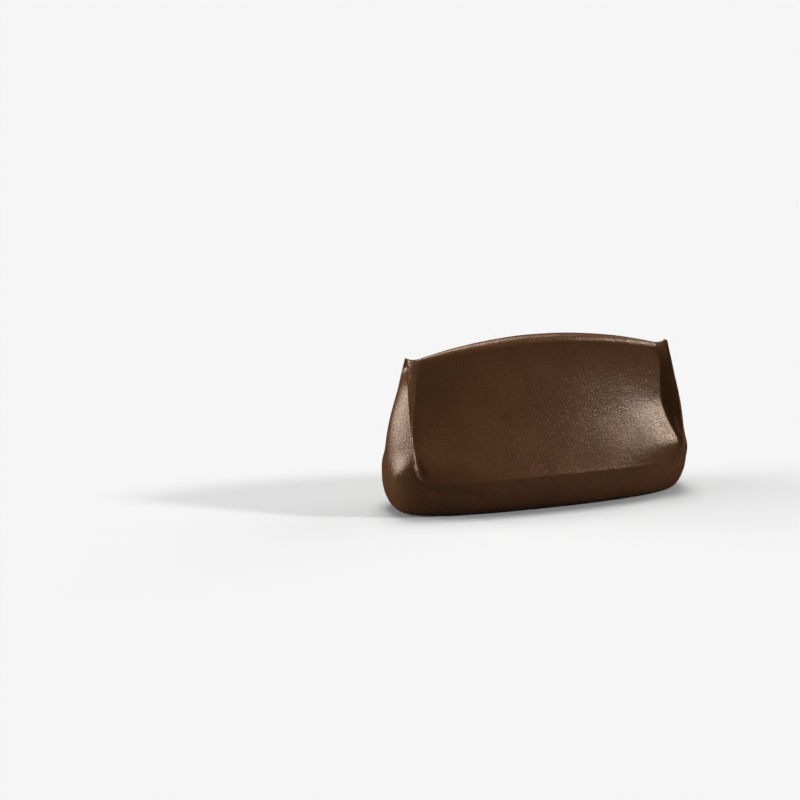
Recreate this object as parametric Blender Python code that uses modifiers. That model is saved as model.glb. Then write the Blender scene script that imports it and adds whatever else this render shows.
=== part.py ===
"""A gianduiotto: one unwrapped hazelnut chocolate, shaped like an upturned boat.

Metres, +Z up. The origin is the middle of the flat underside, +X runs along the ridge
and -Y is the broad face that looks at the viewer.

The piece is a loft of level sections. Each section is a bowed, squarish oval with a thin
upright fin at each of its four corners, left by the nozzle that pressed the paste out.
The sections start as a rounded foot, lean in along slightly hollow walls and close in a
narrow arched ridge, whose ends turn up into small points where the fins meet. Between the
fins the ends are plain and bowed.
One quarter is lofted, and a Mirror modifier makes the other three.
"""

import math

import bmesh
import bpy

MM = 0.001

# Heights above the floor.
RIDGE_HEIGHT = 23.7 * MM
WIDEST_HEIGHT = 5.2 * MM
RIDGE_DROP = 2.75 * MM
TIP_RISE = 0.6 * MM
DROP_POWER = 1.55

# Half lengths along X, at the middle of the end, and how bowed the ends are between the fins.
HALF_LENGTH_FOOT = 20.4 * MM
HALF_LENGTH_WIDEST = 22.75 * MM
HALF_LENGTH_RIDGE = 19.3 * MM
END_FULLNESS = 2.5
END_BOW = 1.6

# Half depths along Y, at the middle of the length.
HALF_DEPTH_FOOT = 5.15 * MM
HALF_DEPTH_WIDEST = 7.5 * MM
HALF_DEPTH_RIDGE = 1.35 * MM

# How hollow the walls are: 1 would make them lean in along a straight line.
WALL_HOLLOW = 1.33

# Squareness of the section: the exponent of its oval, and between which shares of the
# height it grows to the next value.
SQUARENESS_FOOT = 3.25
SQUARENESS_MIDDLE = 6.75
SQUARENESS_RIDGE = 11.0
SQUARING_LOW = (0.2, 0.4)
SQUARING_HIGH = (0.7, 1.0)

# Bow of the broad faces: the share of the depth that is lost at the ends, and between which
# shares of the height it grows.
BOW_FOOT = 0.16
BOW_MIDDLE = 0.56
BOW_RIDGE = 0.62
BOWING_LOW = (0.32, 0.64)
BOWING_HIGH = (0.5, 0.9)

# Fins at the corners: where the crest runs, low down, halfway and at the ridge.
CREST_X = (20.2 * MM, 20.65 * MM, 19.75 * MM)
CREST_Y = (6.2 * MM, 4.1 * MM, 0.45 * MM)
CREST_LOW = 0.2
FIN_RANGE = (0.18, 0.45)
FIN_WIDTH = 0.8 * MM
FIN_WIDTH_LEAST = 0.7 * MM
FIN_TAPER_START = 0.25
FIN_TAPER = 1.3
FIN_HOLLOW = 1.2

# The small rise at each end of the ridge.
TIP_LENGTH = 1.6 * MM
TIP_REACH = 2.0 * MM
TIP_POWER = 6

# How finely each stretch is cut.
FOOT_STEPS = 9
WALL_STEPS = 25
RIDGE_STEPS = 4
RIDGE_ARC_END = math.radians(78)
FACE_STEPS = 12
END_STEPS = 7
FACE_CROWDING = 2.0
END_CROWDING = 1.5

CHOCOLATE_COLOUR = (0.085, 0.036, 0.016, 1.0)
CHOCOLATE_ROUGHNESS = 0.45


def rising(value, start, end):
    """0 up to the start and 1 from the end on, smooth between them."""
    t = min(1.0, max(0.0, (value - start) / (end - start)))
    return t * t * (3 - 2 * t)


def between(low, high, share):
    return low + (high - low) * share


def foot_levels():
    """Height, half length and half depth from the floor to the widest level."""
    for step in range(FOOT_STEPS):
        turn = math.pi / 2 * step / FOOT_STEPS
        out = math.sin(turn)
        yield (
            WIDEST_HEIGHT * (1 - math.cos(turn)),
            between(HALF_LENGTH_FOOT, HALF_LENGTH_WIDEST, out),
            between(HALF_DEPTH_FOOT, HALF_DEPTH_WIDEST, out),
        )


def wall_levels():
    """The same from the widest level to where the ridge begins to round over."""
    wall_top = RIDGE_HEIGHT - HALF_DEPTH_RIDGE
    for step in range(WALL_STEPS + 1):
        up = step / WALL_STEPS
        yield (
            between(WIDEST_HEIGHT, wall_top, up),
            between(HALF_LENGTH_WIDEST, HALF_LENGTH_RIDGE, up**END_FULLNESS),
            between(HALF_DEPTH_RIDGE, HALF_DEPTH_WIDEST, (1 - up) ** WALL_HOLLOW),
        )


def ridge_levels():
    """The rounded top of the ridge, up to the narrow strip that closes it."""
    for step in range(1, RIDGE_STEPS + 1):
        turn = RIDGE_ARC_END * step / RIDGE_STEPS
        yield (
            RIDGE_HEIGHT - HALF_DEPTH_RIDGE * (1 - math.sin(turn) / math.sin(RIDGE_ARC_END)),
            HALF_LENGTH_RIDGE,
            HALF_DEPTH_RIDGE * math.cos(turn),
        )


def squareness(up):
    lower = between(SQUARENESS_FOOT, SQUARENESS_MIDDLE, rising(up, *SQUARING_LOW))
    return lower + (SQUARENESS_RIDGE - SQUARENESS_MIDDLE) * rising(up, *SQUARING_HIGH)


def bow(up):
    lower = between(BOW_FOOT, BOW_MIDDLE, rising(up, *BOWING_LOW))
    return lower + (BOW_RIDGE - BOW_MIDDLE) * rising(up, *BOWING_HIGH)


def crest_point(up):
    """Where the crest of a fin runs at a level: a smooth curve through three control points."""
    share = min(1.0, max(0.0, (up - CREST_LOW) / (1 - CREST_LOW)))
    weights = ((1 - share) ** 2, 2 * share * (1 - share), share**2)
    return (
        sum(w * x for w, x in zip(weights, CREST_X)),
        sum(w * y for w, y in zip(weights, CREST_Y)),
    )


def bare_section(up, half_length, half_depth):
    """The quarter section without its fin, from the middle of the face to the middle of the end."""
    power = squareness(up)
    corner = 2 ** (-1 / power)
    points = []
    for step in range(FACE_STEPS + 1):
        along = corner * (1 - (1 - step / FACE_STEPS) ** FACE_CROWDING)
        points.append((along, (1 - along**power) ** (1 / power)))
    for step in range(1, END_STEPS + 1):
        across = corner * (1 - (step / END_STEPS) ** END_CROWDING)
        points.append(((1 - across**power) ** (1 / power), across))
    return [(half_length * x, half_depth * y * (1 - bow(up) * x**2)) for x, y in points]


def add_fin(points, up, half_length):
    """Draws the corner out to the crest of its fin and bows the end from crest to crest."""
    along = [0.0]
    for (x0, y0), (x1, y1) in zip(points, points[1:]):
        along.append(along[-1] + math.hypot(x1 - x0, y1 - y0))
    corner_x, corner_y = points[FACE_STEPS]
    crest_x, crest_y = crest_point(up)
    strength = rising(up, *FIN_RANGE)
    rise = min(1.0, max(0.0, (up - FIN_TAPER_START) / (1 - FIN_TAPER_START)))
    width = max(FIN_WIDTH_LEAST, FIN_WIDTH * (4 * rise * (1 - rise)) ** FIN_TAPER)
    finned = []
    for i, (x, y) in enumerate(points):
        if i <= FACE_STEPS:
            before = along[FACE_STEPS] - along[i]
            share = strength * max(0.0, 1 - before / width) ** FIN_HOLLOW
            finned.append((x + share * (crest_x - corner_x), y + share * (crest_y - corner_y)))
        else:
            share = y / corner_y
            bowed = half_length - (half_length - crest_x) * share**END_BOW
            finned.append((between(x, bowed, strength), between(y, crest_y * share, strength)))
    finned[0] = (0.0, finned[0][1])
    finned[-1] = (finned[-1][0], 0.0)
    return finned


def arched(x, height, up):
    """The height of a point once the ridge is arched and its ends turned up."""
    fall = RIDGE_DROP * up**DROP_POWER * min(abs(x) / HALF_LENGTH_RIDGE, 1.2) ** 2
    near_tip = max(0.0, (abs(x) - HALF_LENGTH_RIDGE + TIP_LENGTH) / TIP_REACH)
    return height - fall + TIP_RISE * up**TIP_POWER * min(near_tip, 1.5) ** 2


def quarter_rows():
    """One row of points for each level, front right quarter."""
    rows = []
    for height, half_length, half_depth in [*foot_levels(), *wall_levels(), *ridge_levels()]:
        up = height / RIDGE_HEIGHT
        section = add_fin(bare_section(up, half_length, half_depth), up, half_length)
        rows.append([(x, -y, arched(x, height, up)) for x, y in section])
    top = rows[-1]
    rows.append([(x, 0.0, z) for x, _, z in top[:-1]] + [top[-1]])
    return rows


def quarter_mesh():
    """The quarter as an open surface: walls, the strip along the ridge and the flat underside."""
    shape = bmesh.new()
    rows = [[shape.verts.new(point) for point in row] for row in quarter_rows()]
    # Beyond the crests the strip is a fan, which leaves no tiny edges on the mirror plane.
    fan = FACE_STEPS - 2
    rows[-1][fan + 1 :] = [rows[-1][fan]] * END_STEPS + [rows[-1][fan], rows[-2][-1]]
    for below, above in zip(rows, rows[1:]):
        for i in range(len(below) - 1):
            corners = [below[i], below[i + 1], above[i + 1], above[i]]
            shape.faces.new(list(dict.fromkeys(corners)))
    middle = shape.verts.new((0.0, 0.0, 0.0))
    shape.faces.new([middle, *reversed(rows[0])])
    loose = [v for v in shape.verts if not v.link_faces]
    bmesh.ops.delete(shape, geom=loose, context="VERTS")
    mesh = bpy.data.meshes.new("gianduiotto")
    shape.to_mesh(mesh)
    shape.free()
    return mesh


def chocolate_material():
    material = bpy.data.materials.new("chocolate")
    material.use_nodes = True
    shader = material.node_tree.nodes["Principled BSDF"]
    shader.inputs["Base Color"].default_value = CHOCOLATE_COLOUR
    shader.inputs["Roughness"].default_value = CHOCOLATE_ROUGHNESS
    shader.inputs["Metallic"].default_value = 0.0
    return material


def build():
    for old in list(bpy.data.objects):
        bpy.data.objects.remove(old)
    collection = bpy.data.collections.new("gianduiotto")
    bpy.context.scene.collection.children.link(collection)

    piece = bpy.data.objects.new("gianduiotto", quarter_mesh())
    collection.objects.link(piece)
    piece.data.materials.append(chocolate_material())
    mirror = piece.modifiers.new("mirror", "MIRROR")
    mirror.use_axis = (True, True, False)
    mirror.merge_threshold = 0.00001
    piece.data.shade_smooth()


build()
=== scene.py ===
import math

import bpy
from mathutils import Euler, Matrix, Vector, noise


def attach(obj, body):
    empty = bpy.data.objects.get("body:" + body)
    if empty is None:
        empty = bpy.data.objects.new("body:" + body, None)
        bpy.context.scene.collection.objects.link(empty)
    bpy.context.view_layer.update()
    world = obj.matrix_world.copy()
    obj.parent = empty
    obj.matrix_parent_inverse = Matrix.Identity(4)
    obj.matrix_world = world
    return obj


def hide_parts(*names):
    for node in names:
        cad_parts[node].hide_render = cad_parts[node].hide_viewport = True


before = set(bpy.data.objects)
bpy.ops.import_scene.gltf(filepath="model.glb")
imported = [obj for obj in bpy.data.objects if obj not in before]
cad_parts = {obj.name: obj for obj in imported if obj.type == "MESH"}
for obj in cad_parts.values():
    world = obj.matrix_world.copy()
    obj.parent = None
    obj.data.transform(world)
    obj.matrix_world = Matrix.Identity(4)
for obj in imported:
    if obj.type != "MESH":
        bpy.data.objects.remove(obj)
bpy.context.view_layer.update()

MM = 0.001

# Heights above the floor.
RIDGE_HEIGHT = 23.7 * MM
WIDEST_HEIGHT = 5.2 * MM
RIDGE_DROP = 2.75 * MM
TIP_RISE = 0.6 * MM
DROP_POWER = 1.55

# Half lengths along X, at the middle of the end, and how bowed the ends are between the fins.
HALF_LENGTH_FOOT = 20.4 * MM
HALF_LENGTH_WIDEST = 22.75 * MM
HALF_LENGTH_RIDGE = 19.3 * MM
END_FULLNESS = 2.5
END_BOW = 1.6

# Half depths along Y, at the middle of the length.
HALF_DEPTH_FOOT = 5.15 * MM
HALF_DEPTH_WIDEST = 7.5 * MM
HALF_DEPTH_RIDGE = 1.35 * MM

# How hollow the walls are: 1 would make them lean in along a straight line.
WALL_HOLLOW = 1.33

# Squareness of the section: the exponent of its oval, and between which shares of the
# height it grows to the next value.
SQUARENESS_FOOT = 3.25
SQUARENESS_MIDDLE = 6.75
SQUARENESS_RIDGE = 11.0
SQUARING_LOW = (0.2, 0.4)
SQUARING_HIGH = (0.7, 1.0)

# Bow of the broad faces: the share of the depth that is lost at the ends, and between which
# shares of the height it grows.
BOW_FOOT = 0.16
BOW_MIDDLE = 0.56
BOW_RIDGE = 0.62
BOWING_LOW = (0.32, 0.64)
BOWING_HIGH = (0.5, 0.9)

# Fins at the corners: where the crest runs, low down, halfway and at the ridge.
CREST_X = (20.2 * MM, 20.65 * MM, 19.75 * MM)
CREST_Y = (6.2 * MM, 4.1 * MM, 0.45 * MM)
CREST_LOW = 0.2
FIN_RANGE = (0.18, 0.45)
FIN_HOLLOW = 1.8

# How wide their flanks are on the broad faces: low down, and above the levels where they narrow.
FIN_WIDTH_LOW = 0.9 * MM
FIN_NARROWING = (0.34, 0.54)
FIN_WIDTH = 0.55 * MM
FIN_WIDTH_LEAST = 0.3 * MM
FIN_TAPER_START = 0.25
FIN_TAPER = 1.3

# The small rise at each end of the ridge.
TIP_LENGTH = 1.6 * MM
TIP_REACH = 2.0 * MM
TIP_POWER = 6
TIP_LIMIT = 1.5
ARCH_LIMIT = 1.2

# How finely the piece is cut, much finer than in the CAD.
FOOT_STEPS = 34
WALL_STEPS = 110
RIDGE_STEPS = 12
RIDGE_ARC_END = math.radians(88)
FACE_STEPS = 66
END_STEPS = 30
FACE_CROWDING = 1.6
END_CROWDING = 1.3

# Relief of the paste, which fades out towards the floor.
WAVE_SIZE = 5.0 * MM
WAVE_DEPTH = 0.10 * MM
WAVE_SHIFT = Vector((3.1, 0.7, 9.4))
LUMP_SIZE = 1.1 * MM
LUMP_DEPTH = 0.02 * MM
LUMP_SHIFT = Vector((7.7, 2.2, 5.1))
RELIEF_FADE = 1.5 * MM

# The shallow fold low on the left of the front, from the fin to the foot, as x and z in mm.
FOLD_LINE = ((-19.7, 7.8), (-18.9, 5.0), (-17.2, 3.9), (-14.5, 3.5), (-11.5, 3.2))
FOLD_RADIUS = 0.55 * MM
FOLD_DEPTH = 0.16 * MM
FOLD_RIGHT = -10 * MM
FOLD_TOP = 9 * MM

# Colour and sheen of the paste. Each noise has a scale in features per metre, a detail and a
# roughness, and each colour stands at a value of the first noise.
BLOTCH_NOISE = (180, 3, 0.55)
PASTE_COLOURS = (
    (0.30, (0.053, 0.0218, 0.0087, 1)),
    (0.70, (0.068, 0.0280, 0.0113, 1)),
)
GRAIN_NOISE = (3600, 2, 0.6)
ROUGHNESS_LEAST = 0.14
ROUGHNESS_RANGE = 0.24
SHEEN_LEVEL = 0.35
SHEEN_TINT = (1.0, 0.75, 0.55, 1)
SHEEN_IOR = 1.5
BUMP_NOISE = (6200, 1.5, 0.6)
BUMP_SHIFT = (0.01, 0.02, 0.03)
BUMP_STRENGTH = 0.40
BUMP_DISTANCE = 0.12 * MM

FLOOR_HALF_SIZE = 12
FLOOR_COLOUR = (0.415, 0.415, 0.415, 1)
FLOOR_ROUGHNESS = 0.9
WORLD_COLOUR = (1, 1, 1, 1)
WORLD_STRENGTH = 0.02

# Name, azimuth, elevation, strength and spread, with angles in degrees.
LIGHTS = (
    ("top", 172, 77, 1.15, 36),
    ("right", 100, 25, 0.42, 40),
    ("right_front", 64, 28, 0.96, 7),
    ("left", 250, 26, 0.60, 50),
    ("left_streak", 252, 8, 1.20, 34),
)

CAMERA_PLACE = (-92.84 * MM, -213.81 * MM, 71.99 * MM)
CAMERA_DOWN = 13.99
CAMERA_TURN = -18.68
CAMERA_LENS = 76.5
CAMERA_SENSOR = 36
CAMERA_NEAR = 0.01
CAMERA_FAR = 30


def rising(value, start, end):
    """0 up to the start and 1 from the end on, smooth between them."""
    t = min(1.0, max(0.0, (value - start) / (end - start)))
    return t * t * (3 - 2 * t)


def between(low, high, share):
    return low + (high - low) * share


def levels():
    """Height, half length and half depth of each level, from the floor to the ridge."""
    for step in range(FOOT_STEPS):
        turn = math.pi / 2 * step / FOOT_STEPS
        out = math.sin(turn)
        yield (
            WIDEST_HEIGHT * (1 - math.cos(turn)),
            between(HALF_LENGTH_FOOT, HALF_LENGTH_WIDEST, out),
            between(HALF_DEPTH_FOOT, HALF_DEPTH_WIDEST, out),
        )
    wall_top = RIDGE_HEIGHT - HALF_DEPTH_RIDGE
    for step in range(WALL_STEPS + 1):
        up = step / WALL_STEPS
        yield (
            between(WIDEST_HEIGHT, wall_top, up),
            between(HALF_LENGTH_WIDEST, HALF_LENGTH_RIDGE, up**END_FULLNESS),
            between(HALF_DEPTH_RIDGE, HALF_DEPTH_WIDEST, (1 - up) ** WALL_HOLLOW),
        )
    for step in range(1, RIDGE_STEPS + 1):
        turn = RIDGE_ARC_END * step / RIDGE_STEPS
        yield (
            RIDGE_HEIGHT - HALF_DEPTH_RIDGE * (1 - math.sin(turn)),
            HALF_LENGTH_RIDGE,
            HALF_DEPTH_RIDGE * math.cos(turn),
        )


def squareness(up):
    lower = between(SQUARENESS_FOOT, SQUARENESS_MIDDLE, rising(up, *SQUARING_LOW))
    return lower + (SQUARENESS_RIDGE - SQUARENESS_MIDDLE) * rising(up, *SQUARING_HIGH)


def bow(up):
    lower = between(BOW_FOOT, BOW_MIDDLE, rising(up, *BOWING_LOW))
    return lower + (BOW_RIDGE - BOW_MIDDLE) * rising(up, *BOWING_HIGH)


def crest_point(up):
    """Where the crest of a fin runs at a level: a smooth curve through three control points."""
    share = min(1.0, max(0.0, (up - CREST_LOW) / (1 - CREST_LOW)))
    weights = ((1 - share) ** 2, 2 * share * (1 - share), share**2)
    return (
        sum(w * x for w, x in zip(weights, CREST_X)),
        sum(w * y for w, y in zip(weights, CREST_Y)),
    )


def bare_section(up, half_length, half_depth):
    """The quarter section without its fin, from the middle of the face to the middle of the end."""
    power = squareness(up)
    corner = 2 ** (-1 / power)
    points = []
    for step in range(FACE_STEPS + 1):
        along = corner * (1 - (1 - step / FACE_STEPS) ** FACE_CROWDING)
        points.append((along, (1 - along**power) ** (1 / power)))
    for step in range(1, END_STEPS + 1):
        across = corner * (1 - (step / END_STEPS) ** END_CROWDING)
        points.append(((1 - across**power) ** (1 / power), across))
    return [(half_length * x, half_depth * y * (1 - bow(up) * x**2)) for x, y in points]


def fin_width(up):
    rise = min(1.0, max(0.0, (up - FIN_TAPER_START) / (1 - FIN_TAPER_START)))
    high = max(FIN_WIDTH_LEAST, FIN_WIDTH * (4 * rise * (1 - rise)) ** FIN_TAPER)
    return between(FIN_WIDTH_LOW, high, rising(up, *FIN_NARROWING))


def add_fin(points, up, half_length):
    """Draws the corner out to the crest of its fin and bows the end from crest to crest."""
    along = [0.0]
    for (x0, y0), (x1, y1) in zip(points, points[1:]):
        along.append(along[-1] + math.hypot(x1 - x0, y1 - y0))
    corner_x, corner_y = points[FACE_STEPS]
    crest_x, crest_y = crest_point(up)
    strength = rising(up, *FIN_RANGE)
    width = fin_width(up)
    finned = []
    for i, (x, y) in enumerate(points):
        if i <= FACE_STEPS:
            before = along[FACE_STEPS] - along[i]
            share = strength * max(0.0, 1 - before / width) ** FIN_HOLLOW
            finned.append((x + share * (crest_x - corner_x), y + share * (crest_y - corner_y)))
        else:
            share = y / corner_y
            bowed = half_length - (half_length - crest_x) * share**END_BOW
            finned.append((between(x, bowed, strength), between(y, crest_y * share, strength)))
    finned[0] = (0.0, finned[0][1])
    finned[-1] = (finned[-1][0], 0.0)
    return finned


def arched(x, height, up):
    """The height of a point once the ridge is arched and its ends turned up."""
    fall = RIDGE_DROP * up**DROP_POWER * min(abs(x) / HALF_LENGTH_RIDGE, ARCH_LIMIT) ** 2
    near_tip = max(0.0, (abs(x) - HALF_LENGTH_RIDGE + TIP_LENGTH) / TIP_REACH)
    return height - fall + TIP_RISE * up**TIP_POWER * min(near_tip, TIP_LIMIT) ** 2


def ring(height, half_length, half_depth):
    """The whole section, anticlockwise from the middle of the front face."""
    up = height / RIDGE_HEIGHT
    quarter = add_fin(bare_section(up, half_length, half_depth), up, half_length)
    front_right = [(x, -y) for x, y in quarter]
    back_right = [(x, y) for x, y in reversed(quarter[:-1])]
    back_left = [(-x, y) for x, y in quarter[1:]]
    front_left = [(-x, -y) for x, y in reversed(quarter[1:-1])]
    points = front_right + back_right + back_left + front_left
    return [Vector((x, y, arched(x, height, up))) for x, y in points]


def loft():
    """The closed mesh through all the rings."""
    rings = [ring(*level) for level in levels()]
    count = len(rings[0])
    verts = [v for one in rings for v in one]
    faces = []
    for row in range(len(rings) - 1):
        for i in range(count):
            j = (i + 1) % count
            a, b = row * count, (row + 1) * count
            faces.append((a + i, a + j, b + j, b + i))
    faces.append(tuple(reversed(range(count))))
    # The last ring is zipped along the ridge, front to back.
    top = (len(rings) - 1) * count
    quarter = FACE_STEPS + END_STEPS
    left_end = 3 * quarter
    front = [(left_end + k) % count for k in range(2 * quarter + 1)]
    back = [(left_end - k) % count for k in range(2 * quarter + 1)]
    for k in range(2 * quarter):
        corners = [front[k], front[k + 1], back[k + 1], back[k]]
        faces.append(tuple(top + c for c in dict.fromkeys(corners)))
    mesh = bpy.data.meshes.new("chocolate_piece")
    mesh.from_pydata([tuple(v) for v in verts], [], faces)
    mesh.update()
    return mesh


def distance_to_stretch(spot, start, end):
    stretch = end - start
    share = (spot - start).dot(stretch) / stretch.length_squared
    return (spot - start - stretch * min(1.0, max(0.0, share))).length


def fold_depth(p):
    """How deep the fold is at a point."""
    if p.y > 0 or p.x > FOLD_RIGHT or p.z > FOLD_TOP:
        return 0.0
    spot = Vector((p.x, p.z, 0))
    line = [Vector((x * MM, z * MM, 0)) for x, z in FOLD_LINE]
    nearest = min(distance_to_stretch(spot, a, b) for a, b in zip(line, line[1:]))
    return FOLD_DEPTH * math.exp(-((nearest / FOLD_RADIUS) ** 2))


def relief(mesh):
    """Pushes the surface in by soft waves, small lumps and the fold, nowhere outwards."""
    moved = []
    for v in mesh.vertices:
        p, n = v.co, v.normal
        wave = noise.noise(p / WAVE_SIZE + WAVE_SHIFT)
        lump = noise.noise(p / LUMP_SIZE + LUMP_SHIFT)
        depth = WAVE_DEPTH * (0.5 + 0.5 * wave) + LUMP_DEPTH * (0.5 + 0.5 * lump)
        depth += fold_depth(p)
        keep = rising(p.z, 0, RELIEF_FADE)
        moved.append(p - n * depth * keep)
    for v, p in zip(mesh.vertices, moved):
        v.co = p
    mesh.update()


class Graph:
    """Small helper to lay out shader nodes."""

    def __init__(self, material):
        material.use_nodes = True
        self.tree = material.node_tree
        self.nodes = self.tree.nodes
        self.shader = self.nodes["Principled BSDF"]
        self.place = self.nodes.new("ShaderNodeTexCoord").outputs["Object"]

    def link(self, out, into):
        self.tree.links.new(out, into)

    def noise(self, scale, detail, rough, offset=(0, 0, 0)):
        shift = self.nodes.new("ShaderNodeVectorMath")
        shift.operation = "ADD"
        self.link(self.place, shift.inputs[0])
        shift.inputs[1].default_value = offset
        tex = self.nodes.new("ShaderNodeTexNoise")
        tex.inputs["Scale"].default_value = scale
        tex.inputs["Detail"].default_value = detail
        tex.inputs["Roughness"].default_value = rough
        self.link(shift.outputs[0], tex.inputs["Vector"])
        return tex.outputs["Fac"]

    def ramp(self, value, stops):
        node = self.nodes.new("ShaderNodeValToRGB")
        ramp = node.color_ramp
        while len(ramp.elements) > 1:
            ramp.elements.remove(ramp.elements[-1])
        ramp.elements[0].position, ramp.elements[0].color = stops[0]
        for position, colour in stops[1:]:
            ramp.elements.new(position).color = colour
        self.link(value, node.inputs["Fac"])
        return node.outputs["Color"]

    def stretched(self, value, size, start):
        """The value times a size, from a start upwards."""
        node = self.nodes.new("ShaderNodeMath")
        node.operation = "MULTIPLY_ADD"
        self.link(value, node.inputs[0])
        node.inputs[1].default_value = size
        node.inputs[2].default_value = start
        return node.outputs[0]


def chocolate():
    """Milk chocolate paste: blotches of colour, a satin sheen and a fine grain."""
    material = bpy.data.materials.new("chocolate")
    g = Graph(material)
    blotch = g.noise(*BLOTCH_NOISE)
    g.link(g.ramp(blotch, PASTE_COLOURS), g.shader.inputs["Base Color"])

    grain = g.noise(*GRAIN_NOISE)
    g.link(g.stretched(grain, ROUGHNESS_RANGE, ROUGHNESS_LEAST), g.shader.inputs["Roughness"])
    g.shader.inputs["Specular IOR Level"].default_value = SHEEN_LEVEL
    g.shader.inputs["Specular Tint"].default_value = SHEEN_TINT
    g.shader.inputs["IOR"].default_value = SHEEN_IOR

    fine = g.noise(*BUMP_NOISE, BUMP_SHIFT)
    bump = g.nodes.new("ShaderNodeBump")
    bump.inputs["Strength"].default_value = BUMP_STRENGTH
    bump.inputs["Distance"].default_value = BUMP_DISTANCE
    g.link(fine, bump.inputs["Height"])
    g.link(bump.outputs["Normal"], g.shader.inputs["Normal"])
    return material


def floor():
    """A pale floor. The sheen doesn't mirror it, because that would make the foot too light."""
    mesh = bpy.data.meshes.new("floor")
    size = FLOOR_HALF_SIZE
    corners = [(-size, -size, 0), (size, -size, 0), (size, size, 0), (-size, size, 0)]
    mesh.from_pydata(corners, [], [(0, 1, 2, 3)])
    plane = bpy.data.objects.new("floor", mesh)
    bpy.context.scene.collection.objects.link(plane)
    material = bpy.data.materials.new("pale_floor")
    material.use_nodes = True
    shader = material.node_tree.nodes["Principled BSDF"]
    shader.inputs["Base Color"].default_value = FLOOR_COLOUR
    shader.inputs["Roughness"].default_value = FLOOR_ROUGHNESS
    shader.inputs["Specular IOR Level"].default_value = 0.0
    mesh.materials.append(material)
    plane.visible_glossy = False


def sun(name, azimuth, elevation, strength, spread):
    """A far soft light; azimuth 0 is the viewer's side (-Y), 90 the right (+X)."""
    data = bpy.data.lights.new(name, "SUN")
    data.energy = strength * math.pi
    data.angle = math.radians(spread)
    lamp = bpy.data.objects.new(name, data)
    turn, rise = math.radians(azimuth), math.radians(elevation)
    aim = Vector(
        (math.sin(turn) * math.cos(rise), -math.cos(turn) * math.cos(rise), math.sin(rise))
    )
    lamp.rotation_euler = aim.to_track_quat("Z", "Y").to_euler()
    bpy.context.scene.collection.objects.link(lamp)


def lights():
    world = bpy.data.worlds.new("studio")
    world.use_nodes = True
    background = world.node_tree.nodes["Background"]
    background.inputs["Color"].default_value = WORLD_COLOUR
    background.inputs["Strength"].default_value = WORLD_STRENGTH
    bpy.context.scene.world = world
    for light in LIGHTS:
        sun(*light)


def camera():
    data = bpy.data.cameras.new("camera")
    data.sensor_width = CAMERA_SENSOR
    data.lens = CAMERA_LENS
    data.clip_start = CAMERA_NEAR
    data.clip_end = CAMERA_FAR
    eye = bpy.data.objects.new("camera", data)
    eye.location = CAMERA_PLACE
    eye.rotation_euler = Euler((math.radians(90 - CAMERA_DOWN), 0, math.radians(CAMERA_TURN)))
    bpy.context.scene.collection.objects.link(eye)
    bpy.context.scene.camera = eye


def build():
    mesh = loft()
    relief(mesh)
    piece = bpy.data.objects.new("chocolate_piece", mesh)
    bpy.context.scene.collection.objects.link(piece)
    mesh.shade_smooth()
    mesh.materials.append(chocolate())
    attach(piece, "root")
    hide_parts("gianduiotto")
    floor()
    lights()
    camera()
    view = bpy.context.scene.view_settings
    view.view_transform = "Standard"
    view.look = "None"
    view.exposure = 0.0


build()
